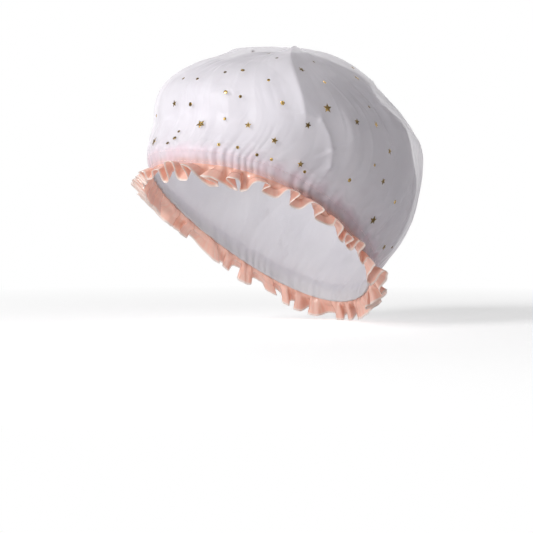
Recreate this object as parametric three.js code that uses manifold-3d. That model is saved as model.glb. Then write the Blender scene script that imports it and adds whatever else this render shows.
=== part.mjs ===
// Gathered shower cap: a sheer printed crown over a waterproof liner, an elastic hem and a satin ruffle.
// Millimetres, +Z up. The origin is the centre of the head opening, the brow faces -Y and the nape +Y.
// A turn is the angle round the crown from the brow, growing towards +X.
import * as THREE from 'three';
import { mergeVertices } from 'three/addons/utils/BufferGeometryUtils.js';
import Module from 'manifold-3d';

const booleans = await Module();
booleans.setup();

// Head opening, along the finished edge of the hem
const OPENING_WIDTH = 162;
const OPENING_LENGTH = 208;
const NAPE_DROP = 118;
const BROW_LEVELNESS = 1.3;

// Crown, worn with its fullness pushed up and back. The waist is its fullest line, and a pouch is how far
// the waist stands out past the opening on that side of its own centre.
const SIDE_POUCH = 19;
const FRONT_POUCH = 15;
const BACK_POUCH = 34;
const CROWN_SETBACK = 29;
const CROWN_FULLNESS = 0.94;
const WAIST_HEIGHT = 73;
const WAIST_TILT = 0.5;
const POUCH_FULLNESS = 3.5;
const TOP_SETBACK = 12;
const PEAK_SETBACK = 46;
const PEAK_HEIGHT = 158;
const PEAK_RISE = 3;
const PEAK_REACH = 0.4;
const CREASE_RISE = 5;
const CREASE_TURN = 45;

// Cloth thicknesses and the air between layers
const GAUZE_THICKNESS = 0.25;
const FILM_THICKNESS = 0.25;
const LAYER_GAP = 0.35;

// How far the sheer crown billows off the liner at the peak and at the waist
const PEAK_SLACK = 3.6;
const WAIST_SLACK = 2.4;

// Gathers: soft folds that the elastic draws into the cloth
const GATHERS = 28;
const GATHER_DEPTH = 3.2;

// Elastic and the hem that is turned up round it
const ELASTIC_WIDTH = 6;
const ELASTIC_THICKNESS = 0.8;
const HEM_ALLOWANCE = 3;
const HEM_FLARE = 3;

// Satin ribbon, its heading caught in the hem and its free edge ruffled
const RIBBON_THICKNESS = 0.3;
const RIBBON_HEADING = 4;
const RIBBON_SHOWING = 14;
const RIBBON_FLARE = 42;
const RUFFLE_DEPTH = 6;
const RUFFLE_SWAY = 1.8;
const RUFFLE_STEPS = 6;

// Seam thread
const THREAD_THICKNESS = 0.4;

// Hot-stamped foil print: sizes across
const LARGE_STAR = 8;
const SMALL_STAR = 5.6;
const STAR_WAIST = 0.45;
const STAR_POINTS = 5;
const STAR_SPIN = 50;
const DOT = 3.4;
const DOT_SIDES = 10;
const FOIL_THICKNESS = 0.2;
const STAMP_REACH = 6;

// Foil places, as a turn in degrees and a share of the way down the cloth from the peak to the hem.
// The print repeats after half a turn.
const LARGE_STARS = [[64, 0.68], [8, 0.88], [-22, 0.95], [106, 0.94]];
const SMALL_STARS = [
  [-12, 0.79], [54, 0.79], [30, 0.86], [78, 0.67], [92, 0.61], [44, 0.9],
  [98, 0.69], [60, 0.95], [58, 0.53], [-70, 0.3], [126, 0.95], [98, 0.81],
];
const DOTS = [
  [19, 0.74], [0, 0.8], [69, 0.54], [24, 0.3], [82, 0.9],
  [110, 0.83], [-4, 0.95], [44, 0.74], [26, 0.6], [130, 0.2],
];
const PRINT_REPEATS = [0, 180];

// Shares of the way from the peak to the waist, and from the waist to the hem, where the cloth has rings
const UPPER_RINGS = [0.12, 0.3, 0.5, 0.74, 1];
const DEEPEST_GATHER = 0.76;
const LOWER_RINGS = [0.4, DEEPEST_GATHER, 1];

// Small change of a turn or a share over which the slope of the cloth is taken
const SLOPE_STEP = 1e-3;

const CROWN_WIDTH = OPENING_WIDTH + 2 * SIDE_POUCH;
const CROWN_FRONT = OPENING_LENGTH / 2 + FRONT_POUCH;
const CROWN_BACK = OPENING_LENGTH / 2 + BACK_POUCH;
const COLUMNS = 2 * GATHERS;
const HEM_HEIGHT = ELASTIC_WIDTH + 2 * HEM_ALLOWANCE;
const FULL_TURN = 2 * Math.PI;
const UP = new THREE.Vector3(0, 0, 1);
const radians = THREE.MathUtils.degToRad;
const mix = THREE.MathUtils.lerp;

// Height of the hem's edge above the middle of the opening: level across the brow, low at the nape.
function edgeHeight(turn) {
  const towardsNape = (1 - Math.cos(turn)) / 2;
  return NAPE_DROP * (0.5 - towardsNape ** BROW_LEVELNESS);
}

// An egg-shaped section of the crown, whose height leans with the hem's edge by the share given as tilt.
function oval(turn, { width, front, back, setback, height, tilt }) {
  const reach = Math.cos(turn) > 0 ? front : back;
  return new THREE.Vector3(
    (width / 2) * Math.sin(turn),
    setback - reach * Math.cos(turn),
    height + tilt * edgeHeight(turn),
  );
}

// Swelling of a section along the two storage creases that cross at the peak.
function creaseSwell(turn, share) {
  const away = Math.abs(Math.sin(2 * (turn - radians(CREASE_TURN))));
  return CREASE_RISE * (1 - away) * Math.max(0, 1 - share);
}

// From the peak, at share 0, to the waist, at share 1.
function upperCrown(turn, share) {
  const angle = (share * Math.PI) / 2;
  const round = Math.sin(angle) ** CROWN_FULLNESS;
  const nearPeak = Math.max(0, 1 - share / PEAK_REACH);
  const swell = creaseSwell(turn, share) * round;
  const domeHeight = PEAK_HEIGHT - PEAK_RISE - WAIST_HEIGHT;
  return oval(turn, {
    width: CROWN_WIDTH * round + 2 * swell,
    front: CROWN_FRONT * round + swell,
    back: CROWN_BACK * round + swell,
    setback: mix(mix(TOP_SETBACK, CROWN_SETBACK, share ** 2), PEAK_SETBACK, nearPeak),
    height: WAIST_HEIGHT + domeHeight * Math.cos(angle) + PEAK_RISE * nearPeak,
    tilt: WAIST_TILT * share ** 2,
  });
}

// From the waist, at share 0, to the top of the hem, at share 1.
function lowerCrown(turn, share) {
  const drawnIn = share ** POUCH_FULLNESS;
  const hemTop = OPENING_LENGTH / 2 + HEM_FLARE;
  return oval(turn, {
    width: mix(CROWN_WIDTH, OPENING_WIDTH + 2 * HEM_FLARE, drawnIn),
    front: mix(CROWN_FRONT, hemTop, drawnIn),
    back: mix(CROWN_BACK, hemTop, drawnIn),
    setback: mix(CROWN_SETBACK, 0, share ** 2),
    height: mix(WAIST_HEIGHT, HEM_HEIGHT, share),
    tilt: mix(WAIST_TILT, 1, share),
  });
}

// The hem, from its edge at depth 0 up to HEM_HEIGHT. A negative depth lies below the edge.
function hem(turn, depth) {
  const flare = (HEM_FLARE * depth) / HEM_HEIGHT;
  return oval(turn, {
    width: OPENING_WIDTH + 2 * flare,
    front: OPENING_LENGTH / 2 + flare,
    back: OPENING_LENGTH / 2 + flare,
    setback: 0,
    height: depth,
    tilt: 1,
  });
}

// Unit normal, out of the cap, of a surface given as point(turn, along) with along running downwards
function outward(point, turn, along) {
  const round = point(turn + SLOPE_STEP, along).sub(point(turn - SLOPE_STEP, along));
  const down = point(turn, along + SLOPE_STEP).sub(point(turn, along - SLOPE_STEP));
  return down.cross(round).normalize();
}

// Depth of the folds at a share of the way from waist to hem: none on the hem itself, fading out above.
function gatherDepth(share) {
  const fadingIn = share / DEEPEST_GATHER;
  const fadingOut = (1 - share) / (1 - DEEPEST_GATHER);
  return GATHER_DEPTH * Math.min(fadingIn, fadingOut);
}

// One point of each kind of ring, moved inwards from the cap's outer face by inset.
function upperPoint(turn, share, inset) {
  return upperCrown(turn, share).addScaledVector(outward(upperCrown, turn, share), -inset);
}

function lowerPoint(turn, share, inset, column) {
  const fold = gatherDepth(share) * (column % 2 ? -1 : 1);
  return lowerCrown(turn, share).addScaledVector(outward(lowerCrown, turn, share), fold - inset);
}

function hemPoint(turn, depth, inset) {
  const downwards = (angle, along) => hem(angle, -along);
  return hem(turn, depth).addScaledVector(outward(downwards, turn, -depth), -inset);
}

function ringOf(columns, pointAt) {
  const turnOf = (column) => (FULL_TURN * column) / columns;
  return Array.from({ length: columns }, (_, column) => pointAt(turnOf(column), column));
}

function peakPoint(inset) {
  return new THREE.Vector3(0, PEAK_SETBACK, PEAK_HEIGHT - inset);
}

// Rings of a crown layer from the peak to the top of the hem, with a share of the liner's slack.
function crownRings(inset, hemInset, slackShare = 0) {
  const upper = UPPER_RINGS.map((share) => {
    const depth = inset + slackShare * mix(PEAK_SLACK, WAIST_SLACK, share);
    return ringOf(COLUMNS, (turn) => upperPoint(turn, share, depth));
  });
  const lower = LOWER_RINGS.map((share) => {
    const depth = share === 1 ? hemInset : inset + slackShare * mix(WAIST_SLACK, 0, share);
    return ringOf(COLUMNS, (turn, column) => lowerPoint(turn, share, depth, column));
  });
  return [...upper, ...lower];
}

function hemRing(depth, inset) {
  return ringOf(COLUMNS, (turn) => hemPoint(turn, depth, inset));
}

// Triangles between each ring and the next. Rings that run down the outside of a solid face out.
function bandTriangles(columns, rings, firstVertex) {
  const triangles = [];
  for (let ring = 0; ring < rings - 1; ring += 1) {
    const above = firstVertex + ring * columns;
    const below = above + columns;
    for (let column = 0; column < columns; column += 1) {
      const next = (column + 1) % columns;
      triangles.push(above + column, below + column, below + next);
      triangles.push(above + column, below + next, above + next);
    }
  }
  return triangles;
}

function turnedOver(triangles) {
  return triangles.slice().reverse();
}

function geometryOf(points, triangles) {
  const geometry = new THREE.BufferGeometry().setFromPoints(points);
  geometry.setIndex(triangles);
  geometry.computeVertexNormals();
  return geometry;
}

// A strip of cloth closed to a loop: its front and back, both from the top ring down, and its two edges.
// Front and back share one pattern of triangles, so that the cloth keeps its thickness in every fold.
function loopSolid(front, back) {
  const columns = front[0].length;
  const rings = front.length;
  const backStart = columns * rings;
  const topEdge = bandTriangles(columns, 2, 2 * backStart);
  const bottomEdge = bandTriangles(columns, 2, 2 * backStart + 2 * columns);
  const points = [...front, ...back, back[0], front[0], front[rings - 1], back[rings - 1]].flat();
  const triangles = [
    ...bandTriangles(columns, rings, 0),
    ...turnedOver(bandTriangles(columns, rings, backStart)),
    ...topEdge,
    ...bottomEdge,
  ];
  return geometryOf(points, triangles);
}

// A bowl of cloth: as a loop, but its front and back each close over a peak instead of having a top edge.
function bowlSolid(frontPeak, front, backPeak, back) {
  const columns = front[0].length;
  const rings = front.length;
  const backStart = columns * rings;
  const edgeStart = 2 * backStart;
  const peakStart = edgeStart + 2 * columns;
  const edges = [...front[rings - 1], ...back[rings - 1]];
  const points = [...front.flat(), ...back.flat(), ...edges, frontPeak, backPeak];
  const triangles = [
    ...bandTriangles(columns, rings, 0),
    ...turnedOver(bandTriangles(columns, rings, backStart)),
    ...bandTriangles(columns, 2, edgeStart),
  ];
  for (let column = 0; column < columns; column += 1) {
    const next = (column + 1) % columns;
    triangles.push(peakStart, column, next);
    triangles.push(peakStart + 1, backStart + next, backStart + column);
  }
  return geometryOf(points, triangles);
}

const RIBBON_INSET = GAUZE_THICKNESS + LAYER_GAP;
const LINER_INSET = GAUZE_THICKNESS + LAYER_GAP;
const LINER_HEM_INSET = RIBBON_INSET + RIBBON_THICKNESS + LAYER_GAP;
const ELASTIC_INSET = LINER_HEM_INSET + FILM_THICKNESS + LAYER_GAP;
const RETURN_INSET = ELASTIC_INSET + ELASTIC_THICKNESS + LAYER_GAP;

// Sheer outer crown, ending at the hem's edge
function outerGauze() {
  const outside = [...crownRings(0, 0), hemRing(0, 0)];
  const inside = [...crownRings(GAUZE_THICKNESS, GAUZE_THICKNESS), hemRing(0, GAUZE_THICKNESS)];
  return bowlSolid(peakPoint(0), outside, peakPoint(GAUZE_THICKNESS), inside);
}

// Waterproof liner, its edge turned up inside to make the elastic's channel
function linerFilm() {
  const back = LINER_INSET + FILM_THICKNESS;
  const hemBack = LINER_HEM_INSET + FILM_THICKNESS;
  const returnBack = RETURN_INSET + FILM_THICKNESS;
  const outside = [
    ...crownRings(LINER_INSET, LINER_HEM_INSET, 1),
    hemRing(0, LINER_HEM_INSET),
    hemRing(0, returnBack),
    hemRing(HEM_HEIGHT, returnBack),
  ];
  const inside = [
    ...crownRings(back, hemBack, 1),
    hemRing(FILM_THICKNESS, hemBack),
    hemRing(FILM_THICKNESS, RETURN_INSET),
    hemRing(HEM_HEIGHT, RETURN_INSET),
  ];
  return bowlSolid(peakPoint(LINER_INSET + PEAK_SLACK), outside, peakPoint(back + PEAK_SLACK), inside);
}

// Flat elastic, closed to a loop inside the turned-up hem
function elasticBand() {
  const low = FILM_THICKNESS + LAYER_GAP;
  const high = low + ELASTIC_WIDTH;
  const back = ELASTIC_INSET + ELASTIC_THICKNESS;
  return loopSolid(
    [hemRing(high, ELASTIC_INSET), hemRing(low, ELASTIC_INSET)],
    [hemRing(high, back), hemRing(low, back)],
  );
}

// A point of the ruffle's free edge, thrown up and down across the ribbon's flare. The sway along the hem
// makes each fold broad at its crest and narrow at its foot.
function ruffleEdge(turn, inset) {
  const phase = GATHERS * turn;
  const sway = (-RUFFLE_SWAY / (OPENING_WIDTH / 2)) * Math.sin(2 * phase);
  const seam = hemPoint(turn + sway, 0, RIBBON_INSET);
  const out = new THREE.Vector3(seam.x, seam.y, 0).normalize();
  const flare = radians(RIBBON_FLARE);
  const along = out.clone().multiplyScalar(Math.sin(flare)).addScaledVector(UP, -Math.cos(flare));
  const across = out.clone().multiplyScalar(Math.cos(flare)).addScaledVector(UP, Math.sin(flare));
  const wave = RUFFLE_DEPTH * Math.sin(phase);
  return seam.addScaledVector(along, RIBBON_SHOWING).addScaledVector(across, wave - inset);
}

// Satin ribbon, straight where the hem holds it and waved at its free edge
function ruffleRibbon() {
  const columns = GATHERS * RUFFLE_STEPS;
  const back = RIBBON_INSET + RIBBON_THICKNESS;
  const held = (depth, inset) => ringOf(columns, (turn) => hemPoint(turn, depth, inset));
  const free = (inset) => ringOf(columns, (turn) => ruffleEdge(turn, inset));
  const clear = -LAYER_GAP;
  return loopSolid(
    [held(RIBBON_HEADING, RIBBON_INSET), held(clear, RIBBON_INSET), free(0)],
    [held(RIBBON_HEADING, back), held(clear, back), free(RIBBON_THICKNESS)],
  );
}

// A row of seam thread lying on the gauze at a height above the hem's edge
function seamThread(depth) {
  const near = -LAYER_GAP;
  const far = near - THREAD_THICKNESS;
  return loopSolid(
    [hemRing(depth + THREAD_THICKNESS, far), hemRing(depth, far)],
    [hemRing(depth + THREAD_THICKNESS, near), hemRing(depth, near)],
  );
}

// Flat star with its tips on a circle of the width given
function starShape(width) {
  const corners = Array.from({ length: 2 * STAR_POINTS }, (_, corner) => {
    const reach = (width / 2) * (corner % 2 ? STAR_WAIST : 1);
    const angle = (Math.PI * corner) / STAR_POINTS;
    return new THREE.Vector2(reach * Math.sin(angle), reach * Math.cos(angle));
  });
  return new THREE.Shape(corners);
}

function dotShape(width) {
  return new THREE.Shape().absarc(0, 0, width / 2, 0, FULL_TURN);
}

// The gauze at a turn and a share of the way down: a point on one of its facets and that facet's normal.
function gauzeAt(turnDegrees, share) {
  const rings = [new Array(COLUMNS).fill(peakPoint(0)), ...crownRings(0, 0)];
  const place = THREE.MathUtils.euclideanModulo(turnDegrees / 360, 1) * COLUMNS;
  const column = Math.floor(place);
  const next = (column + 1) % COLUMNS;
  const path = rings.map((ring) => ring[column].clone().lerp(ring[next], place - column));
  const lengths = path.slice(1).map((point, band) => point.distanceTo(path[band]));
  let left = share * lengths.reduce((sum, length) => sum + length, 0);
  let band = 0;
  while (left > lengths[band]) {
    left -= lengths[band];
    band += 1;
  }
  const point = path[band].clone().lerp(path[band + 1], left / lengths[band]);
  const below = rings[band + 1];
  const facet = new THREE.Triangle(rings[band][column], below[column], below[next]);
  return { point, normal: facet.getNormal(new THREE.Vector3()) };
}

function solidOf(geometry) {
  const bare = new THREE.BufferGeometry();
  bare.setAttribute('position', geometry.getAttribute('position'));
  bare.setIndex(geometry.getIndex());
  const merged = mergeVertices(bare);
  return new booleans.Manifold(new booleans.Mesh({
    numProp: 3,
    vertProperties: merged.getAttribute('position').array,
    triVerts: new Uint32Array(merged.getIndex().array),
  }));
}

function geometryFrom(solid) {
  const { vertProperties, triVerts } = solid.getMesh();
  const geometry = new THREE.BufferGeometry();
  geometry.setAttribute('position', new THREE.BufferAttribute(vertProperties, 3));
  geometry.setIndex(new THREE.BufferAttribute(triVerts, 1));
  geometry.computeVertexNormals();
  return geometry;
}

// A skin over the gauze, from which the foil pieces are stamped so that they follow its folds
function foilSkin() {
  const near = -LAYER_GAP;
  const far = near - FOIL_THICKNESS;
  return bowlSolid(peakPoint(far), crownRings(far, far), peakPoint(near), crownRings(near, near));
}

function stamp(shape, { point, normal }, spin) {
  const punch = new THREE.ExtrudeGeometry(shape, {
    depth: 2 * STAMP_REACH,
    bevelEnabled: false,
    curveSegments: DOT_SIDES,
  });
  punch.translate(0, 0, -STAMP_REACH);
  punch.rotateZ(spin);
  punch.applyQuaternion(new THREE.Quaternion().setFromUnitVectors(UP, normal));
  punch.translate(point.x, point.y, point.z);
  return geometryFrom(solidOf(punch).intersect(skin));
}

const skin = solidOf(foilSkin());

function finish(color, roughness, more = {}) {
  return new THREE.MeshStandardMaterial({ color, roughness, ...more });
}

const gauze = finish(0xf3e6ee, 0.5, { transparent: true, opacity: 0.6 });
const film = finish(0xf0eff2, 0.35, { transparent: true, opacity: 0.7 });
const satin = finish(0xf3b49c, 0.3);
const elastic = finish(0xf4f1ee, 0.8);
const thread = finish(0xf6d9cf, 0.6);
const gold = finish(0xc9a14a, 0.25, { metalness: 1 });

const cap = new THREE.Group();

function addPiece(name, geometry, material) {
  const mesh = new THREE.Mesh(geometry, material);
  mesh.name = name;
  cap.add(mesh);
}

addPiece('outer_gauze', outerGauze(), gauze);
addPiece('liner_film', linerFilm(), film);
addPiece('elastic_band', elasticBand(), elastic);
addPiece('ruffle_ribbon', ruffleRibbon(), satin);
addPiece('casing_thread', seamThread(HEM_HEIGHT - HEM_ALLOWANCE / 2), thread);
addPiece('ruffle_thread', seamThread(RIBBON_HEADING / 2), thread);

// One foil piece at each place of a list and at its repeats
function addPrint(name, shape, places) {
  const repeated = PRINT_REPEATS.flatMap((repeat) => places.map(([turn, share]) => [turn + repeat, share]));
  repeated.forEach(([turn, share], index) => {
    const spot = gauzeAt(turn, share);
    addPiece(`${name}_${index + 1}`, stamp(shape, spot, radians(STAR_SPIN * index)), gold);
  });
}

addPrint('foil_star_large', starShape(LARGE_STAR), LARGE_STARS);
addPrint('foil_star_small', starShape(SMALL_STAR), SMALL_STARS);
addPrint('foil_dot', dotShape(DOT), DOTS);

export default cap;
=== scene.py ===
import math

import bpy
import numpy as np
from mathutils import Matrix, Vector
from mathutils.bvhtree import BVHTree


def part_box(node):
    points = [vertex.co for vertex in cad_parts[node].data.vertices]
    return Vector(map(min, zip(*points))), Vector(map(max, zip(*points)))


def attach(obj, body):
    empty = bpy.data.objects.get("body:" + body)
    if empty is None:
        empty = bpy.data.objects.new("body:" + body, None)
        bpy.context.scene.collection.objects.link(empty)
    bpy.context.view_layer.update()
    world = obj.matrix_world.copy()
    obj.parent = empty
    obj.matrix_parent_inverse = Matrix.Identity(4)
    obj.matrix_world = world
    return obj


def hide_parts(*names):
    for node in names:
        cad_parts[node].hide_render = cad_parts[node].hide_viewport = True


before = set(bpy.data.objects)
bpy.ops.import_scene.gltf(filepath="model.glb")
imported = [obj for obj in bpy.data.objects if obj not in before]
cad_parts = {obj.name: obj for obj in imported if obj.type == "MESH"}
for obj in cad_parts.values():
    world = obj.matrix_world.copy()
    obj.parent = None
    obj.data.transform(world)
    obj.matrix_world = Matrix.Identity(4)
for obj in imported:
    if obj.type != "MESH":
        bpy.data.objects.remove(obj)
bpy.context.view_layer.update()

MM = 0.001
FULL_TURN = 2 * math.pi
UP = np.array([0, 0, 1.0])

# Sizes of the solids
OPENING_WIDTH = 162
OPENING_LENGTH = 208
NAPE_DROP = 118
BROW_LEVELNESS = 1.3
SIDE_POUCH = 19
FRONT_POUCH = 15
BACK_POUCH = 34
CROWN_SETBACK = 29
CROWN_FULLNESS = 0.94
WAIST_HEIGHT = 73
WAIST_TILT = 0.5
POUCH_FULLNESS = 3.5
TOP_SETBACK = 12
PEAK_SETBACK = 46
PEAK_HEIGHT = 158
PEAK_RISE = 3
PEAK_REACH = 0.4
CREASE_RISE = 5
GAUZE_THICKNESS = 0.25
FILM_THICKNESS = 0.25
LAYER_GAP = 0.35
ELASTIC_WIDTH = 6
ELASTIC_THICKNESS = 0.8
HEM_ALLOWANCE = 3
HEM_FLARE = 3
RIBBON_THICKNESS = 0.3
RIBBON_HEADING = 4
CROWN_WIDTH = OPENING_WIDTH + 2 * SIDE_POUCH
CROWN_FRONT = OPENING_LENGTH / 2 + FRONT_POUCH
CROWN_BACK = OPENING_LENGTH / 2 + BACK_POUCH
HEM_HEIGHT = ELASTIC_WIDTH + 2 * HEM_ALLOWANCE
RIBBON_INSET = GAUZE_THICKNESS + LAYER_GAP + RIBBON_THICKNESS / 2
LINER_HEM_INSET = GAUZE_THICKNESS + RIBBON_THICKNESS + 2 * LAYER_GAP
ELASTIC_INSET = LINER_HEM_INSET + FILM_THICKNESS + LAYER_GAP
RETURN_INSET = ELASTIC_INSET + ELASTIC_THICKNESS + LAYER_GAP

# Fineness of the cloth, and how the line of its waist is eased
COLUMNS = 760
UPPER_RINGS = 54
LOWER_RINGS = 56
HEM_RINGS = 10
HEM_START = UPPER_RINGS + LOWER_RINGS - 1
EASING_STEPS = 90
EASED_RINGS = 14

# Two storage creases cross at the peak as four ridges, a quarter turn apart, with flatter panels between
CREASE_TURN = 53
RIDGE_LENGTHS = [150, 70, 120, 60]
RIDGE_WIDTH = 14
RIDGE_RISE = 4.5
RIDGE_START = 32
PANEL_DIP = 3

# Gathers above the hem: how many go round, how high they stand, and where above the hem they are highest.
# They start a little below the hem's top, and stand higher in some patches than in others.
GATHERS = [
    dict(count=28, height=0.27, highest=17, unevenness=1.3, seed=21),
    dict(count=47, height=0.25, highest=12, unevenness=2.2, seed=22),
    dict(count=76, height=0.18, highest=9, unevenness=3.2, seed=23),
]
GATHERS_BELOW = 5
GATHERS_END = 48
GATHER_PATCH = 40

# Fine crimps that the elastic draws into every layer of the hem, and how far above it they fade
CRIMPS = [
    dict(count=84, height=0.25, unevenness=2.6, seed=24),
    dict(count=53, height=0.18, unevenness=2.2, seed=26),
]
CRIMP_ROUNDNESS = 1.6
CRIMPS_END = 11

# Long soft drapes above the gathers, and thin streaks that show in patches
DRAPE_HEIGHT = 0.42
DRAPE_HIGHEST = 40
STREAK_HEIGHT = 0.75
STREAKS_END = 60
STREAK_PATCH = 45

# Slow swells of the whole cloth, which the hem and the peak hold still
SWELLS = [dict(height=0.5, length=95, seed=31), dict(height=0.15, length=38, seed=32)]
HELD_BY_HEM = 22
HELD_BY_PEAK = 18

# Scattered creases: how many, and the ranges of their lengths, widths and heights. They run mostly down the
# cloth and stray from that by an angle.
CLOTH_CREASES = [
    dict(count=50, lengths=(50, 140), widths=(3, 8), heights=(0.3, 0.95), seed=41),
    dict(count=120, lengths=(20, 60), widths=(1.2, 3), heights=(0.15, 0.4), seed=42),
]
LINER_CREASES = dict(count=170, lengths=(30, 110), widths=(1.2, 3.5), heights=(0.3, 0.9), seed=43)
CREASE_SPREAD = 205
CREASE_STRAY = 0.6

# Creases that stand out on the photographed side, between places given as a turn in degrees and a distance
# from the peak
SHARP_CREASES = [
    dict(start=(60, 150), end=(67.5, 171), width=5, height=2),
    dict(start=(67.5, 171), end=(71, 184), width=4, height=1.8),
    dict(start=(71, 184), end=(72, 200), width=5, height=1.4),
    dict(start=(84, 120), end=(88, 175), width=8, height=1.2),
    dict(start=(97, 90), end=(104, 190), width=9, height=-1.3),
    dict(start=(24, 100), end=(20, 165), width=9, height=0.5),
    dict(start=(8, 110), end=(12, 180), width=7, height=0.5),
]

# The air between the layers, and a corner at the back where the sheer layer alone stands off
HEM_AIR = 1.3
BILLOW = 3.2
BILLOW_UNEVENNESS = 1.5
BILLOW_LENGTH = 60
LEAST_AIR = 0.9
SHEER_CORNER = dict(start=(120, 128), end=(140, 152), width=16, height=5)

# Reaches of the pink tint above the hem, which is partly the stacked cloth and partly painted bounce light
# from the satin ruffle
PINK_AND_BOUNCE_NEAR = 6
PINK_AND_BOUNCE_FAR = 22

# Satin ruffle
RUFFLE_COLUMNS = 1500
RUFFLE_RINGS = 18
RIBBON_SHOWING = 15.5
RUFFLES = 33
RUFFLE_DEPTH = 7.4
RUFFLE_SWAY = 1.6
RUFFLE_LEAN = 5
BROW_FLARE = math.radians(52)
NAPE_FLARE = math.radians(28)
FLARE_UNEVENNESS = math.radians(14)
FLARE_QUICKNESS = 2.2

# Elastic and seams
ELASTIC_COLUMNS = 720
ELASTIC_SIDES = 12
CASING_SEAM = HEM_HEIGHT - HEM_ALLOWANCE / 2
RUFFLE_SEAM = RIBBON_HEADING / 2
STITCH_PITCH = 3.2
STITCH_LENGTH = 2.5
STITCH_RINGS = 6
STITCH_SIDES = 6
THREAD_RADIUS = 0.2
THREAD_END_RADIUS = 0.06
STITCH_ARCH = 0.12

# Foil print: sizes across, and small dots between the pieces of the solids, each at a turn in degrees and a
# share of the way down the cloth. The print repeats after half a turn.
FOIL_WIDTHS = {"foil_star_large": 8.4, "foil_star_small": 6, "foil_dot": 3.4}
SMALL_DOT = 2.6
STAR_WAIST = 0.45
STAR_POINTS = 5
STAR_SPIN = math.radians(50)
DOT_SIDES = 20
FOIL_THICKNESS = 0.3
FOIL_REACH = 6
SMALL_DOTS = [
    (44, 0.47), (73, 0.35), (15, 0.62), (-14, 0.66), (-1, 0.67), (40, 0.65), (26, 0.75), (-30, 0.81),
    (19, 0.85), (-4, 0.91), (-8, 0.97), (23, 0.97), (32, 0.97), (90, 0.79), (42, 0.98), (49, 0.98),
    (64, 0.97), (132, 0.92), (94, 0.52),
]
PRINT_REPEATS = [0, 180]

# Studio, in metres and watts
FLOOR_RADIUS = 3
FLOOR_SIDES = 64
MIDDLE = Vector((0, 0.03, 0.05))
WHITE = (1, 1, 1, 1)
WORLD_LIGHT = 0.06
CAMERA_AZIMUTH = math.radians(40)
CAMERA_ELEVATION = math.radians(2)
CAMERA_DISTANCE = 1.6
CAMERA_LENS = 130.2
CAMERA_SENSOR = 36
AIM_RIGHT = 0.0029
AIM_UP = -0.0253


def mix(first, second, share):
    return first + (second - first) * share


def normalised(vectors):
    return vectors / np.linalg.norm(vectors, axis=-1, keepdims=True)


# Height of the hem's edge above the middle of the opening
def edge_height(turn):
    return NAPE_DROP * (0.5 - ((1 - np.cos(turn)) / 2) ** BROW_LEVELNESS)


# An egg-shaped section of the crown, whose height leans with the hem's edge by the share given as tilt
def oval(turn, width, front, back, setback, height, tilt):
    reach = np.where(np.cos(turn) > 0, front, back)
    across = width / 2 * np.sin(turn)
    return np.stack([across, setback - reach * np.cos(turn), height + tilt * edge_height(turn)], -1)


# How far a turn is from the storage creases, from 0 on one to 1 midway between two
def away_from_crease(turn):
    return np.abs(np.sin(2 * (turn - math.radians(CREASE_TURN))))


# From the peak, at share 0, to the waist, at share 1
def upper_crown(turn, share):
    angle = share * np.pi / 2
    round_share = np.sin(angle) ** CROWN_FULLNESS
    near_peak = np.maximum(0, 1 - share / PEAK_REACH)
    swell = CREASE_RISE * (1 - away_from_crease(turn)) * np.maximum(0, 1 - share) * round_share
    dome = PEAK_HEIGHT - PEAK_RISE - WAIST_HEIGHT
    return oval(
        turn,
        width=CROWN_WIDTH * round_share + 2 * swell,
        front=CROWN_FRONT * round_share + swell,
        back=CROWN_BACK * round_share + swell,
        setback=mix(mix(TOP_SETBACK, CROWN_SETBACK, share**2), PEAK_SETBACK, near_peak),
        height=WAIST_HEIGHT + dome * np.cos(angle) + PEAK_RISE * near_peak,
        tilt=WAIST_TILT * share**2,
    )


# From the waist, at share 0, to the top of the hem, at share 1
def lower_crown(turn, share):
    drawn_in = share**POUCH_FULLNESS
    hem_top = OPENING_LENGTH / 2 + HEM_FLARE
    return oval(
        turn,
        width=mix(CROWN_WIDTH, OPENING_WIDTH + 2 * HEM_FLARE, drawn_in),
        front=mix(CROWN_FRONT, hem_top, drawn_in),
        back=mix(CROWN_BACK, hem_top, drawn_in),
        setback=mix(CROWN_SETBACK, 0, share**2),
        height=mix(WAIST_HEIGHT, HEM_HEIGHT, share),
        tilt=mix(WAIST_TILT, 1, share),
    )


# The hem, from its edge at depth 0 up to HEM_HEIGHT
def hem_surface(turn, depth):
    flare = HEM_FLARE * depth / HEM_HEIGHT
    reach = OPENING_LENGTH / 2 + flare
    return oval(turn, OPENING_WIDTH + 2 * flare, reach, reach, 0, depth, 1)


# A smooth field without grain: waves of about one length in every direction, from -1 to 1 or so
def waves(places, length, seed, count=14):
    chance = np.random.default_rng(seed)
    total = np.zeros(places.shape[:-1])
    for _ in range(count):
        direction = chance.normal(size=places.shape[-1])
        direction *= FULL_TURN / length / np.linalg.norm(direction) * chance.uniform(0.7, 1.35)
        total += np.cos(places @ direction + chance.uniform(0, FULL_TURN))
    return total / math.sqrt(count)


# An uneven wander round the cap, from -1 to 1 or so, that meets itself after a full turn
def wander(turn, seed, slowest, fastest):
    chance = np.random.default_rng(seed)
    total = np.zeros(turn.shape)
    for count in range(slowest, fastest + 1):
        total += np.sin(count * turn + chance.uniform(0, FULL_TURN)) / math.sqrt(count)
    return total / 1.5


# Round puffs with sharp valleys between them, from -1 to 1, unevenly spaced
def pleats(turn, count, seed, unevenness, roundness=0.75):
    phase = count * turn / 2 + unevenness * wander(turn, seed, 2, 11)
    return 2 * np.abs(np.sin(phase)) ** roundness - 1


# Rises from 0 to 1 at the peak and fades slowly beyond it
def swell_and_fade(distance, peak):
    share = np.maximum(distance, 0) / peak
    return share * np.exp(1 - share)


def flat_place(turn_degrees, down):
    turn = math.radians(turn_degrees)
    return np.array([down * math.sin(turn), -down * math.cos(turn)])


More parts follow.
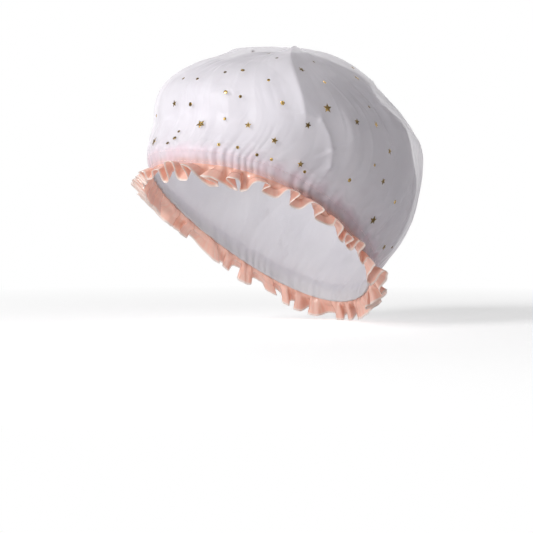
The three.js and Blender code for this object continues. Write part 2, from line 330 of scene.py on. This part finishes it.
# One crease along the line between two places on the flat cloth
def crease_between(flat, start, end, width, height):
    first, last = flat_place(*start), flat_place(*end)
    length = np.linalg.norm(last - first)
    heading = (last - first) / length
    along = (flat - first) @ heading
    across = (flat - first) @ np.array([-heading[1], heading[0]])
    beyond = np.maximum(np.maximum(-along, along - length), 0)
    return height * np.exp(-(np.abs(across) + 1.5 * beyond) / width)


# Creases scattered over the flat cloth, each steeper on one side and fading to its ends
def scattered_creases(flat, count, lengths, widths, heights, seed):
    chance = np.random.default_rng(seed)
    total = np.zeros(flat.shape[:-1])
    for _ in range(count):
        centre = chance.uniform(-CREASE_SPREAD, CREASE_SPREAD, 2)
        heading = math.atan2(centre[1], centre[0]) + chance.normal(0, CREASE_STRAY)
        half = chance.uniform(*lengths) / 2
        width = chance.uniform(*widths)
        height = chance.uniform(*heights) * chance.choice([-1, 1])
        along = (flat - centre) @ np.array([math.cos(heading), math.sin(heading)])
        across = (flat - centre) @ np.array([-math.sin(heading), math.cos(heading)])
        fade = np.clip(1 - (along / half) ** 2, 0, 1) ** 1.5
        side = np.where(across > 0, 1.0, chance.uniform(0.35, 1.0))
        total += height * np.exp(-np.abs(across) / (width * side)) * fade
    return total


class Cloth:
    """The crown and hem as one fine grid: smooth places, normals, and where each point lies on the cloth."""

    def __init__(self):
        turn = np.arange(COLUMNS) * FULL_TURN / COLUMNS
        rings = [upper_crown(turn, share) for share in np.linspace(0, 1, UPPER_RINGS + 1)[1:]]
        rings += [lower_crown(turn, share) for share in np.linspace(0, 1, LOWER_RINGS + 1)[1:]]
        rings += [hem_surface(turn, depth) for depth in np.linspace(HEM_HEIGHT, 0, HEM_RINGS + 1)[1:]]
        self.points = self.eased(np.array(rings))
        self.peak = np.array([0, PEAK_SETBACK, PEAK_HEIGHT], float)
        self.turn = np.broadcast_to(turn, self.points.shape[:2])
        steps = np.linalg.norm(np.diff(self.points, axis=0), axis=2)
        first = np.linalg.norm(self.points[0] - self.peak, axis=1)
        self.down = np.concatenate([first[None], first + np.cumsum(steps, 0)], 0)
        self.above = np.maximum(self.down[HEM_START] - self.down, 0)
        self.flat = np.stack([self.down * np.sin(self.turn), -self.down * np.cos(self.turn)], -1)
        round_step = np.roll(self.points, -1, 1) - np.roll(self.points, 1, 1)
        self.normals = normalised(np.cross(np.gradient(self.points, axis=0), round_step))

    # Rounds off the line of the waist, and leaves the hem as it is
    @staticmethod
    def eased(points):
        from_hem = HEM_START + 4 - np.arange(len(points))
        loose = np.clip(from_hem / EASED_RINGS, 0, 1)[:, None, None]
        for _ in range(EASING_STEPS):
            soft = points.copy()
            soft[1:-1] = (points[:-2] + 2 * points[1:-1] + points[2:]) / 4
            points = mix(points, soft, loose)
        return points


def crimps(turn):
    total = np.zeros(turn.shape)
    for crimp in CRIMPS:
        height = crimp["height"] * (1 + 0.7 * wander(turn, crimp["seed"] + 50, 5, 19))
        total += height * pleats(turn, crimp["count"], crimp["seed"], crimp["unevenness"], CRIMP_ROUNDNESS)
    return total


# Gathers, drapes and streaks that rise from the hem
def gathers(cloth):
    turn, above = cloth.turn, cloth.above
    reach = np.clip(1 + 0.7 * wander(turn, 11, 5, 23), 0.35, 2.4)
    uneven = np.clip(0.7 + 0.6 * waves(cloth.flat, GATHER_PATCH, 16), 0.15, 1.4)
    low = uneven * np.exp(-((above / GATHERS_END) ** 2)) * (1 + 0.5 * wander(turn, 12, 3, 12))
    total = crimps(turn) * np.exp(-above / CRIMPS_END)
    for gather in GATHERS:
        shape = swell_and_fade(above + GATHERS_BELOW, gather["highest"] * reach)
        folded = pleats(turn, gather["count"], gather["seed"], gather["unevenness"])
        total += gather["height"] * low * shape * folded
    total += DRAPE_HEIGHT * swell_and_fade(above, DRAPE_HIGHEST) * wander(turn + 0.004 * above, 13, 9, 24)
    patchy = np.clip(0.5 + 0.8 * waves(cloth.flat, STREAK_PATCH, 15), 0, 1.5)
    streaks = patchy * np.exp(-above / STREAKS_END) * np.abs(wander(turn + 0.001 * above, 14, 22, 48))
    return total + STREAK_HEIGHT * (1 - np.exp(-above / HELD_BY_HEM)) * streaks


# Ridges of the storage creases. They leave the peak itself where it is.
def storage_creases(cloth):
    ridges = []
    for quarter, length in enumerate(RIDGE_LENGTHS):
        turned = CREASE_TURN + 90 * quarter
        ridges.append(crease_between(cloth.flat, (turned, 1), (turned, length), RIDGE_WIDTH, RIDGE_RISE))
    return np.maximum.reduce(ridges) - RIDGE_RISE * np.exp(-cloth.down / RIDGE_START)


# How far the outer face of the gathered cloth stands off the smooth form
def folds(cloth):
    free = (1 - np.exp(-cloth.above / HELD_BY_HEM)) * (1 - np.exp(-cloth.down / HELD_BY_PEAK))
    loose = -PANEL_DIP * away_from_crease(cloth.turn) ** 2
    for swell in SWELLS:
        loose += swell["height"] * waves(cloth.flat, swell["length"], swell["seed"])
    for kind in CLOTH_CREASES:
        loose += scattered_creases(cloth.flat, **kind)
    sharp = sum(crease_between(cloth.flat, **crease) for crease in SHARP_CREASES)
    return gathers(cloth) + storage_creases(cloth) + free * loose + sharp


# The air between the two layers, wider where the sheer layer billows off the liner
def layer_air(cloth):
    billow = 1 - np.exp(-cloth.above / BILLOW_LENGTH)
    uneven = BILLOW + BILLOW_UNEVENNESS * waves(cloth.flat, BILLOW_LENGTH, 51)
    return HEM_AIR + billow * (uneven - scattered_creases(cloth.flat, **LINER_CREASES))


cloth = Cloth()
sheer_corner = crease_between(cloth.flat, **SHEER_CORNER)
outer_fold = folds(cloth) + sheer_corner
layer_gap = np.maximum(layer_air(cloth), LEAST_AIR) + sheer_corner


def quads(rings, columns):
    ring = np.arange(rings - 1)[:, None] * columns
    column = np.arange(columns)[None, :]
    after = (column + 1) % columns
    found = np.stack([ring + column, ring + columns + column, ring + columns + after, ring + after], -1)
    return found.reshape(-1, 4).tolist()


def peak_triangles(columns, peak):
    return [(peak, column, (column + 1) % columns) for column in range(columns)]


def new_piece(name, points, faces, material, nodes, values=None):
    mesh = bpy.data.meshes.new(name)
    mesh.from_pydata((np.asarray(points) * MM).tolist(), [], faces)
    for key, numbers in (values or {}).items():
        numbers = np.asarray(numbers, np.float32)
        if numbers.ndim == 1:
            mesh.attributes.new(key, "FLOAT", "POINT").data.foreach_set("value", numbers)
        else:
            mesh.attributes.new(key, "FLOAT_VECTOR", "POINT").data.foreach_set("vector", numbers.ravel())
    mesh.polygons.foreach_set("use_smooth", np.ones(len(mesh.polygons), bool))
    mesh.materials.append(material)
    mesh.update()
    piece = bpy.data.objects.new(name, mesh)
    bpy.context.scene.collection.objects.link(piece)
    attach(piece, "root")
    if nodes:
        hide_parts(*nodes)
    return piece


# Inputs of the main surface shader, by short names
PRINCIPLED_NAMES = {
    "specular": "Specular IOR Level",
    "metallic": "Metallic",
    "anisotropic": "Anisotropic",
    "coat": "Coat Weight",
    "coat_roughness": "Coat Roughness",
    "sheen": "Sheen Weight",
}


class Nodes:
    """The nodes of a material or of the world, added one call at a time."""

    def __init__(self, owner, output):
        owner.use_nodes = True
        self.owner = owner
        self.tree = owner.node_tree
        self.tree.nodes.clear()
        self.output = self.add(output)

    def add(self, kind, inputs=None, **settings):
        node = self.tree.nodes.new(kind)
        for key, value in settings.items():
            setattr(node, key, value)
        for key, value in (inputs or {}).items():
            socket = node.inputs[key]
            if isinstance(value, bpy.types.NodeSocket):
                self.tree.links.new(value, socket)
            else:
                socket.default_value = value
        return node

    def attribute(self, name, output):
        return self.add("ShaderNodeAttribute", attribute_name=name).outputs[output]

    def math(self, operation, first, second):
        return self.add("ShaderNodeMath", {0: first, 1: second}, operation=operation).outputs[0]

    def ramp(self, factor, stops):
        node = self.add("ShaderNodeValToRGB", {"Fac": factor})
        elements = node.color_ramp.elements
        elements[0].position, elements[0].color = stops[0]
        elements[1].position, elements[1].color = stops[-1]
        for position, colour in stops[1:-1]:
            elements.new(position).color = colour
        return node.outputs["Color"]

    def numbers(self, factor, stops):
        return self.ramp(factor, [(place, (value, value, value, 1)) for place, value in stops])

    def noise(self, vector, scale, detail=3.0, roughness=0.55, output="Fac"):
        inputs = {"Vector": vector, "Scale": scale, "Detail": detail, "Roughness": roughness}
        return self.add("ShaderNodeTexNoise", inputs).outputs[output]

    def wave(self, vector, scale, direction):
        inputs = {"Vector": vector, "Scale": scale}
        return self.add("ShaderNodeTexWave", inputs, bands_direction=direction).outputs["Fac"]

    # Flat facets that meet in sharp lines, as in film that was folded small
    def crumple(self, vector, scale):
        bent = self.noise(vector, 0.6 * scale, 2, output="Color")
        inputs = {0: bent, 1: (0.02, 0.02, 0.02), 2: vector}
        place = self.add("ShaderNodeVectorMath", inputs, operation="MULTIPLY_ADD").outputs[0]
        return self.add("ShaderNodeTexVoronoi", {"Vector": place, "Scale": scale}).outputs["Distance"]

    def bump(self, height, strength, distance, under=None):
        inputs = {"Height": height, "Strength": strength, "Distance": distance}
        if under is not None:
            inputs["Normal"] = under
        return self.add("ShaderNodeBump", inputs).outputs["Normal"]

    def principled(self, colour, roughness, normal, **constants):
        inputs = {"Base Color": colour, "Roughness": roughness, "Normal": normal}
        for key, value in constants.items():
            inputs[PRINCIPLED_NAMES[key]] = value
        return self.add("ShaderNodeBsdfPrincipled", inputs).outputs[0]

    def translucent(self, colour, normal):
        return self.add("ShaderNodeBsdfTranslucent", {"Color": colour, "Normal": normal}).outputs[0]

    def mixed(self, share, first, second):
        return self.add("ShaderNodeMixShader", {0: share, 1: first, 2: second}).outputs[0]

    # 1 for a ray that shows the background: to the camera, in a reflection or through something clear
    def seen(self):
        path = self.add("ShaderNodeLightPath").outputs
        reflected = self.math("MAXIMUM", path["Is Glossy Ray"], path["Is Transmission Ray"])
        return self.math("MAXIMUM", path["Is Camera Ray"], reflected)

    def finish(self, shader):
        self.tree.links.new(shader, self.output.inputs["Surface"])
        return self.owner


def material_nodes(name):
    return Nodes(bpy.data.materials.new(name), "ShaderNodeOutputMaterial")


def srgb(red, green, blue):
    def linear(value):
        value /= 255
        return value / 12.92 if value <= 0.04045 else ((value + 0.055) / 1.055) ** 2.4

    return (linear(red), linear(green), linear(blue), 1)


# Frosted waterproof film: pale, soft, letting much light through
def film_material():
    n = material_nodes("frosted_film")
    flat = n.attribute("flat", "Vector")
    cloudy = n.noise(flat, 9, 4)
    colour = n.ramp(cloudy, [(0.3, srgb(240, 239, 243)), (0.7, srgb(250, 249, 251))])
    normal = n.bump(n.noise(flat, 700, 2), 0.12, 0.0004)
    normal = n.bump(n.noise(flat, 60, 5, 0.6), 0.25, 0.0016, normal)
    normal = n.bump(n.crumple(flat, 34), 0.3, 0.0022, normal)
    rough = n.numbers(cloudy, [(0.3, 0.3), (0.7, 0.44)])
    surface = n.principled(colour, rough, normal, specular=0.3)
    return n.finish(n.mixed(0.26, surface, n.translucent(colour, normal)))


# Sheer outer cloth: pink near the hem where folds stack it up at the gathers, that pink also holding painted
# bounce light from the satin ruffle; nearly clear elsewhere
def gauze_material():
    n = material_nodes("sheer_gauze")
    flat = n.attribute("flat", "Vector")
    pink_and_painted_bounce = n.attribute("pink_and_painted_bounce", "Fac")
    # The pink end of these tints is partly the stacked cloth's colour and partly painted bounce light from
    # the satin ruffle
    tints = [(0.0, srgb(250, 247, 252)), (0.5, srgb(250, 242, 248)), (1.0, srgb(249, 231, 238))]
    colour = n.ramp(pink_and_painted_bounce, tints)
    normal = n.bump(n.noise(flat, 900, 2), 0.1, 0.0003)
    normal = n.bump(n.noise(flat, 75, 5, 0.6), 0.2, 0.0012, normal)
    normal = n.bump(n.crumple(flat, 27), 0.25, 0.0022, normal)
    rough = n.numbers(n.noise(flat, 14), [(0.3, 0.28), (0.7, 0.42)])
    surface = n.principled(colour, rough, normal, specular=0.25)
    woven = n.mixed(0.36, surface, n.translucent(colour, normal))
    clear = n.add("ShaderNodeBsdfTransparent", {"Color": (1, 0.994, 1, 1)}).outputs[0]
    facing = n.add("ShaderNodeLayerWeight", {"Blend": 0.35}).outputs["Facing"]
    sheer = n.numbers(facing, [(0.0, 0.3), (0.55, 0.42), (1.0, 0.84)])
    stacked = n.numbers(pink_and_painted_bounce, [(0.0, 0.0), (0.8, 0.9), (1.0, 0.94)])
    return n.finish(n.mixed(n.math("MAXIMUM", sheer, stacked), clear, woven))


# Satin ribbon: smooth threads across it, pale woven edges
def satin_material():
    n = material_nodes("satin_ribbon")
    flat = n.attribute("flat", "Vector")
    edge = n.attribute("edge", "Fac")
    stretched = n.add("ShaderNodeMapping", {"Vector": flat, "Scale": (6, 1, 1)}).outputs[0]
    streak = n.noise(stretched, 60)
    body = n.ramp(streak, [(0.25, srgb(253, 209, 191)), (0.75, srgb(255, 229, 216))])
    selvage = n.numbers(edge, [(0.0, 0.0), (0.86, 0.0), (0.92, 1.0), (1.0, 1.0)])
    inputs = {0: selvage, 6: body, 7: srgb(255, 244, 238)}
    colour = n.add("ShaderNodeMix", inputs, data_type="RGBA").outputs[2]
    normal = n.bump(n.wave(flat, 520, "X"), 0.1, 0.0002)
    rough = n.numbers(streak, [(0.2, 0.16), (0.8, 0.26)])
    surface = n.principled(
        colour, rough, normal, specular=1.0, anisotropic=0.6, coat=0.8, coat_roughness=0.1
    )
    return n.finish(n.mixed(0.36, surface, n.translucent(colour, normal)))


# Woven elastic: ribs along it and a fine braid across
def elastic_material():
    n = material_nodes("woven_elastic")
    flat = n.attribute("flat", "Vector")
    ribs = n.wave(flat, 260, "Y")
    braid = n.wave(flat, 400, "X")
    colour = n.ramp(ribs, [(0.0, srgb(226, 220, 216)), (1.0, srgb(246, 242, 238))])
    normal = n.bump(braid, 0.3, 0.0003, n.bump(ribs, 0.5, 0.0004))
    rough = n.numbers(braid, [(0.0, 0.7), (1.0, 0.9)])
    return n.finish(n.principled(colour, rough, normal))


# Twisted sewing thread
def thread_material():
    n = material_nodes("sewing_thread")
    places = n.add("ShaderNodeTexCoord").outputs["Object"]
    fuzz = n.noise(places, 400)
    colour = n.ramp(fuzz, [(0.3, srgb(246, 226, 228)), (0.7, srgb(253, 240, 240))])
    normal = n.bump(n.wave(places, 900, "DIAGONAL"), 0.5, 0.0002)
    rough = n.numbers(fuzz, [(0.3, 0.5), (0.7, 0.7)])
    return n.finish(n.principled(colour, rough, normal, sheen=0.3))


# Hot-stamped gold foil, slightly rubbed, and darker in some places than in others
def foil_material():
    n = material_nodes("gold_foil")
    places = n.add("ShaderNodeTexCoord").outputs["Object"]
    rubbed = n.noise(places, 900, 4)
    tone = n.math("MULTIPLY", n.math("ADD", rubbed, n.noise(places, 70, 1)), 0.5)
    golds = [(0.38, srgb(84, 70, 44)), (0.52, srgb(132, 108, 64)), (0.62, srgb(226, 194, 128))]
    rough = n.numbers(rubbed, [(0.2, 0.1), (0.8, 0.24)])
    normal = n.bump(n.noise(places, 500, 2), 0.25, 0.0002)
    return n.finish(n.principled(n.ramp(tone, golds), rough, normal, metallic=1.0))


film = film_material()
gauze = gauze_material()
satin = satin_material()
elastic = elastic_material()
thread = thread_material()
foil = foil_material()


def flat_metres(flat):
    flat = flat.reshape(-1, 2) * MM
    return np.concatenate([flat, np.zeros((len(flat), 1))], 1)


# A bowl of cloth from its rings and its peak, with each point's place on the flat cloth
def bowl(name, rings, peak, flat, material, node, values=None):
    count = len(rings)
    faces = quads(count, COLUMNS) + peak_triangles(COLUMNS, count * COLUMNS)
    attributes = {"flat": np.concatenate([flat_metres(flat), np.zeros((1, 3))])}
    for key, numbers in (values or {}).items():
        attributes[key] = np.concatenate([numbers.ravel(), [0]])
    points = np.concatenate([rings.reshape(-1, 3), peak[None]])
    return new_piece(name, points, faces, material, [node], attributes)


# Sheer outer crown
outer_points = cloth.points + cloth.normals * outer_fold[..., None]
outer_peak = cloth.peak + UP * outer_fold[0].mean()
# Pink tint rising from the hem: partly the stacked gathers, partly painted bounce light from the satin ruffle
patches = 1 + 0.4 * waves(cloth.flat, 24, 61)
pink_and_painted_bounce = 0.36 * np.exp(-cloth.above / PINK_AND_BOUNCE_NEAR) + 0.32 * np.exp(-cloth.above / PINK_AND_BOUNCE_FAR) * patches
pink_and_painted_bounce_values = {"pink_and_painted_bounce": np.clip(pink_and_painted_bounce, 0, 1)}
gauze_piece = bowl(
    "crown_gauze", outer_points, outer_peak, cloth.flat, gauze, "outer_gauze", pink_and_painted_bounce_values
)


# Waterproof liner, its edge turned up inside the hem
def liner():
    in_hem = np.clip(1 - cloth.above / (HEM_HEIGHT / 2), 0, 1)
    inset = mix(layer_gap, LINER_HEM_INSET, in_hem)
    inside = cloth.points + cloth.normals * (outer_fold - inset)[..., None]
    turned_up = cloth.points + cloth.normals * (outer_fold - RETURN_INSET)[..., None]
    turned_up = turned_up[HEM_START:][::-1]
    edge = cloth.flat[-1:]
    beyond = np.linspace(0, HEM_HEIGHT, len(turned_up))[:, None, None] / cloth.down[-1][None, :, None]
    flat = np.concatenate([cloth.flat, edge * (1 + beyond)])
    peak = outer_peak - UP * layer_gap[0].mean()
    return bowl("crown_liner", np.concatenate([inside, turned_up]), peak, flat, film, "liner_film")


liner_piece = liner()


# Places on the outer cloth at turns and at heights above the hem's edge, lifted off it or, where the lift is
# below 0, set in under it
def on_hem_cloth(turn, height, lift):
    ring = HEM_START + (HEM_HEIGHT - height) / HEM_HEIGHT * HEM_RINGS
    column = turn / FULL_TURN * COLUMNS
    upper = np.floor(ring).astype(int)
    lower = np.minimum(upper + 1, len(outer_points) - 1)
    left = np.floor(column).astype(int)
    down, across = (ring - upper)[:, None], (column - left)[:, None]
    near, far = left % COLUMNS, (left + 1) % COLUMNS
    found = []
    for field in (outer_points, cloth.normals):
        first = mix(field[upper, near], field[lower, near], down)
        last = mix(field[upper, far], field[lower, far], down)
        found.append(mix(first, last, across))
    return found[0] + found[1] * lift[:, None]


# A loop round the hem at a height above its edge, set in under the outer cloth
def hem_loop(turn, height, inset):
    return on_hem_cloth(turn, np.full_like(turn, height), np.full_like(turn, -inset))


# Distance along the hem's edge at each of a row of turns
def along_hem(turn):
    steps = np.linalg.norm(np.diff(hem_surface(turn, 0.0), axis=0), axis=1)
    return np.concatenate([[0], np.cumsum(steps)])


# Elastic: a closed band with rounded edges
def elastic_band():
    turn = np.arange(ELASTIC_COLUMNS) * FULL_TURN / ELASTIC_COLUMNS
    length = along_hem(turn)
    low = FILM_THICKNESS + LAYER_GAP
    rows, flat = [], []
    for angle in np.linspace(0, -FULL_TURN, ELASTIC_SIDES + 1):
        across, through = [np.sign(v) * abs(v) ** 0.4 for v in (math.cos(angle), math.sin(angle))]
        height = low + ELASTIC_WIDTH / 2 * (1 + across)
        inset = ELASTIC_INSET + ELASTIC_THICKNESS / 2 * (1 + through)
        rows.append(hem_loop(turn, height, inset))
        flat.append(np.stack([length, np.full_like(length, height)], -1))
    points = np.concatenate(rows)
    faces = quads(len(rows), ELASTIC_COLUMNS)
    places = {"flat": flat_metres(np.array(flat))}
    new_piece("elastic_band_woven", points, faces, elastic, ["elastic_band"], places)


elastic_band()


# Satin ruffle: heading straight in the hem, free edge thrown into uneven loops that lean either way
def ruffle():
    turn = np.arange(RUFFLE_COLUMNS) * FULL_TURN / RUFFLE_COLUMNS
    phase = RUFFLES * turn + 2.2 * wander(turn, 71, 3, 14)
    depth = RUFFLE_DEPTH * (1 + 0.34 * wander(turn, 72, 4, 19))
    nape_share = (1 - np.cos(turn)) / 2
    flare = mix(BROW_FLARE, NAPE_FLARE, nape_share) + FLARE_UNEVENNESS * wander(turn, 73, 4, 21)
    loops = np.sin(phase) + 0.08 * np.sin(3 * phase) + 0.2 * wander(turn, 76, 18, 40)
    lean = RUFFLE_LEAN * wander(turn, 77, 3, 13) * loops
    sway = (lean - RUFFLE_SWAY * np.sin(2 * phase)) / (OPENING_WIDTH / 2)
    showing = RIBBON_SHOWING * (1 + 0.06 * wander(turn, 75, 5, 15))
    rows, edges, widths = [], [], []
    for height in np.linspace(RIBBON_HEADING, 0, 4):
        rows.append(hem_loop(turn, height, RIBBON_INSET))
        edges.append(np.zeros_like(turn))
        widths.append(np.full_like(turn, -height))
    for share in np.linspace(0, 1, RUFFLE_RINGS + 1)[1:]:
        throw = share**0.8
        seat = hem_loop(turn + sway * throw, 0.0, RIBBON_INSET)
        out = normalised(seat * (1 - UP))
        turned_out = (flare * min(1, share * FLARE_QUICKNESS))[:, None]
        along = out * np.sin(turned_out) - UP * np.cos(turned_out)
        across = out * np.cos(turned_out) + UP * np.sin(turned_out)
        rows.append(seat + along * (showing * share)[:, None] + across * (depth * loops * throw)[:, None])
        edges.append(np.full_like(turn, share))
        widths.append(np.full_like(turn, RIBBON_SHOWING * share))
    points = np.array(rows)
    steps = np.linalg.norm(np.roll(points[-1], -1, 0) - points[-1], axis=1)
    length = np.concatenate([[0], np.cumsum(steps)[:-1]])
    flat = np.stack([np.broadcast_to(length, points.shape[:2]), np.array(widths)], -1)
    values = {"flat": flat_metres(flat), "edge": np.array(edges).ravel()}
    faces = quads(len(points), RUFFLE_COLUMNS)
    return new_piece("ruffle_satin", points.reshape(-1, 3), faces, satin, ["ruffle_ribbon"], values)


ruffle_piece = ruffle()
ribbon = ruffle_piece.modifiers.new("thickness", "SOLIDIFY")
ribbon.thickness = RIBBON_THICKNESS * MM
ribbon.offset = 0


# A row of short stitches along the hem: each a small arch of thread, thin where it dives into the cloth
def stitch_row(name, seam, node):
    turns = np.linspace(0, FULL_TURN, 2001)
    length = along_hem(turns)
    count = int(length[-1] / STITCH_PITCH)
    starts = np.arange(count) * length[-1] / count
    arch = np.sin(np.linspace(0, np.pi, STITCH_RINGS))[None, :, None]
    angles = np.arange(STITCH_SIDES) * FULL_TURN / STITCH_SIDES
    along = STITCH_LENGTH * np.linspace(0, 1, STITCH_RINGS)
    spots = starts[:, None, None] + along[None, :, None] + np.zeros_like(angles)
    radius = mix(THREAD_END_RADIUS, THREAD_RADIUS, np.sqrt(arch))
    height = seam + radius * np.cos(angles) + np.zeros_like(spots)
    lift = STITCH_ARCH * arch + radius * np.sin(angles) + np.zeros_like(spots)
    points = on_hem_cloth(np.interp(spots.ravel(), length, turns), height.ravel(), lift.ravel())
    sides = [face[::-1] for face in quads(STITCH_RINGS, STITCH_SIDES)]
    size = STITCH_RINGS * STITCH_SIDES
    ends = [list(range(STITCH_SIDES))[::-1], list(range(size - STITCH_SIDES, size))]
    faces = [[first + i for i in face] for first in range(0, size * count, size) for face in sides + ends]
    new_piece(name, points, faces, thread, [node])


stitch_row("casing_stitches", CASING_SEAM, "casing_thread")
stitch_row("ruffle_stitches", RUFFLE_SEAM, "ruffle_thread")

# Foil print laid on the sheer cloth
surface = BVHTree.FromPolygons(outer_points.reshape(-1, 3).tolist(), quads(len(outer_points), COLUMNS))


def star_outline(width):
    corners = []
    for corner in range(2 * STAR_POINTS):
        reach = width / 2 * (STAR_WAIST if corner % 2 else 1)
        angle = math.pi * corner / STAR_POINTS
        corners.append((reach * math.sin(angle), reach * math.cos(angle)))
    return corners


def dot_outline(width):
    angles = np.arange(DOT_SIDES) * FULL_TURN / DOT_SIDES
    return [(width / 2 * math.cos(angle), width / 2 * math.sin(angle)) for angle in angles]


# A thin piece of foil with a rounded rim that follows the cloth under it
def foil_shape(place, outline, spin):
    spot, normal, _, _ = surface.find_nearest(place)
    towards = Vector((0, 0, 1)).rotation_difference(normal)

    def drop(x, y, lift):
        across = Vector((x * math.cos(spin) - y * math.sin(spin), x * math.sin(spin) + y * math.cos(spin), 0))
        across.rotate(towards)
        hit = surface.ray_cast(spot + across + normal * FOIL_REACH, -normal, 2 * FOIL_REACH)[0]
        if hit is None:
            hit = surface.find_nearest(spot + across)[0]
        return tuple(hit + normal * lift * FOIL_THICKNESS)

    count = len(outline)
    layers = [(1.0, 0.25), (0.97, 0.85), (0.66, 1.0), (0.33, 1.0)]
    points = [drop(x * scale, y * scale, lift) for scale, lift in layers for x, y in outline]
    points.append(drop(0, 0, 1.0))
    faces = [face[::-1] for face in quads(len(layers), count)]
    last = (len(layers) - 1) * count
    faces += [(last + i, len(points) - 1, last + (i + 1) % count) for i in range(count)]
    return points, faces


def add_print(name, points, faces, nodes):
    new_piece(name, np.array(points), faces, foil, nodes)


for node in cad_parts:
    kind, _, number = node.rpartition("_")
    if kind in FOIL_WIDTHS:
        outline = dot_outline if kind == "foil_dot" else star_outline
        low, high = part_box(node)
        centre = (low + high) / 2 / MM
        points, faces = foil_shape(centre, outline(FOIL_WIDTHS[kind]), STAR_SPIN * (int(number) - 1))
        add_print(f"print_{node}", points, faces, [node])


# The smallest dots of the print, as one piece
def small_dots():
    all_points, all_faces = [], []
    for repeat in PRINT_REPEATS:
        for turn_degrees, share in SMALL_DOTS:
            column = round((turn_degrees + repeat) / 360 * COLUMNS) % COLUMNS
            down = cloth.down[:, column]
            ring = int(np.argmin(np.abs(down - share * down[HEM_START])))
            points, faces = foil_shape(Vector(outer_points[ring, column]), dot_outline(SMALL_DOT), 0)
            all_faces += [tuple(len(all_points) + i for i in face) for face in faces]
            all_points += points
    add_print("print_small_dots", all_points, all_faces, [])


small_dots()


# Seen directly or in a reflection, the floor is white paper that keeps the shadow near the object, and it
# fades into the white background further off. To all other light it is plain pale paper. It has no underside.
def stage_material():
    n = material_nodes("studio_white")
    places = n.add("ShaderNodeTexCoord").outputs["Object"]
    colour = n.ramp(n.noise(places, 40), [(0.3, (0.79, 0.79, 0.795, 1)), (0.7, (0.81, 0.81, 0.815, 1))])
    plain = n.add("ShaderNodeBsdfDiffuse", {"Color": colour}).outputs[0]
    lifted = n.add("ShaderNodeEmission", {"Color": WHITE, "Strength": 0.62}).outputs[0]
    near = n.add("ShaderNodeAddShader", {0: plain, 1: lifted}).outputs[0]
    white = n.add("ShaderNodeEmission", {"Color": WHITE, "Strength": 1.0}).outputs[0]
    distance = n.add("ShaderNodeVectorMath", {0: places}, operation="LENGTH").outputs["Value"]
    shown = n.mixed(n.numbers(distance, [(0.3, 0.0), (0.75, 1.0)]), near, white)
    upper_side = n.mixed(n.seen(), plain, shown)
    below = n.add("ShaderNodeNewGeometry").outputs["Backfacing"]
    return n.finish(n.mixed(below, upper_side, n.add("ShaderNodeBsdfTransparent").outputs[0]))


# White where it is seen, directly or in a reflection, and a dim even light otherwise
def studio_world():
    n = Nodes(bpy.data.worlds.new("studio"), "ShaderNodeOutputWorld")
    dim = {"Color": (1, 0.97, 0.975, 1), "Strength": WORLD_LIGHT}
    white = {"Color": WHITE, "Strength": 1.0}
    shown = [n.add("ShaderNodeBackground", inputs).outputs[0] for inputs in (dim, white)]
    return n.finish(n.mixed(n.seen(), *shown))


def add_floor():
    low_point = min(corner.co.z for corner in ruffle_piece.data.vertices)
    angles = np.arange(FLOOR_SIDES) * FULL_TURN / FLOOR_SIDES
    rim = [(FLOOR_RADIUS * math.cos(angle), FLOOR_RADIUS * math.sin(angle), 0) for angle in angles]
    mesh = bpy.data.meshes.new("floor")
    mesh.from_pydata(rim, [], [tuple(range(FLOOR_SIDES))])
    mesh.materials.append(stage_material())
    floor = bpy.data.objects.new("floor", mesh)
    floor.location = (MIDDLE.x, MIDDLE.y, low_point - RIBBON_THICKNESS * MM)
    bpy.context.scene.collection.objects.link(floor)


add_floor()
bpy.context.scene.world = studio_world()

# Directions of the photograph's view
to_right = Vector((math.cos(CAMERA_AZIMUTH), math.sin(CAMERA_AZIMUTH), 0))
level = Vector((math.sin(CAMERA_AZIMUTH), -math.cos(CAMERA_AZIMUTH), 0))
to_camera = level * math.cos(CAMERA_ELEVATION) + Vector((0, 0, math.sin(CAMERA_ELEVATION)))


# A round lamp aimed at the middle of the cap, placed by its distances to the right, to the camera and up
def add_lamp(name, right, near, high, size, power):
    lamp = bpy.data.lights.new(name, "AREA")
    lamp.shape = "DISK"
    lamp.size = size
    lamp.energy = power
    offset = to_right * right + to_camera * near + Vector((0, 0, high))
    item = bpy.data.objects.new(name, lamp)
    item.location = MIDDLE + offset
    item.rotation_euler = offset.to_track_quat("Z", "Y").to_euler()
    bpy.context.scene.collection.objects.link(item)


add_lamp("key", right=-1.52, near=1.34, high=1.05, size=0.85, power=31)
add_lamp("low", right=-0.9, near=1.5, high=0, size=0.24, power=7.5)
add_lamp("fill", right=0.2, near=-2, high=0.25, size=0.7, power=7)


# Camera at the photographed angle
def add_camera():
    lens = bpy.data.cameras.new("camera")
    lens.lens = CAMERA_LENS
    lens.sensor_width = CAMERA_SENSOR
    camera = bpy.data.objects.new("camera", lens)
    aim = to_right * AIM_RIGHT + to_camera.cross(to_right) * AIM_UP
    camera.location = aim + to_camera * CAMERA_DISTANCE
    camera.rotation_euler = to_camera.to_track_quat("Z", "Y").to_euler()
    bpy.context.scene.collection.objects.link(camera)
    bpy.context.scene.camera = camera


add_camera()
bpy.context.scene.view_settings.view_transform = "Standard"
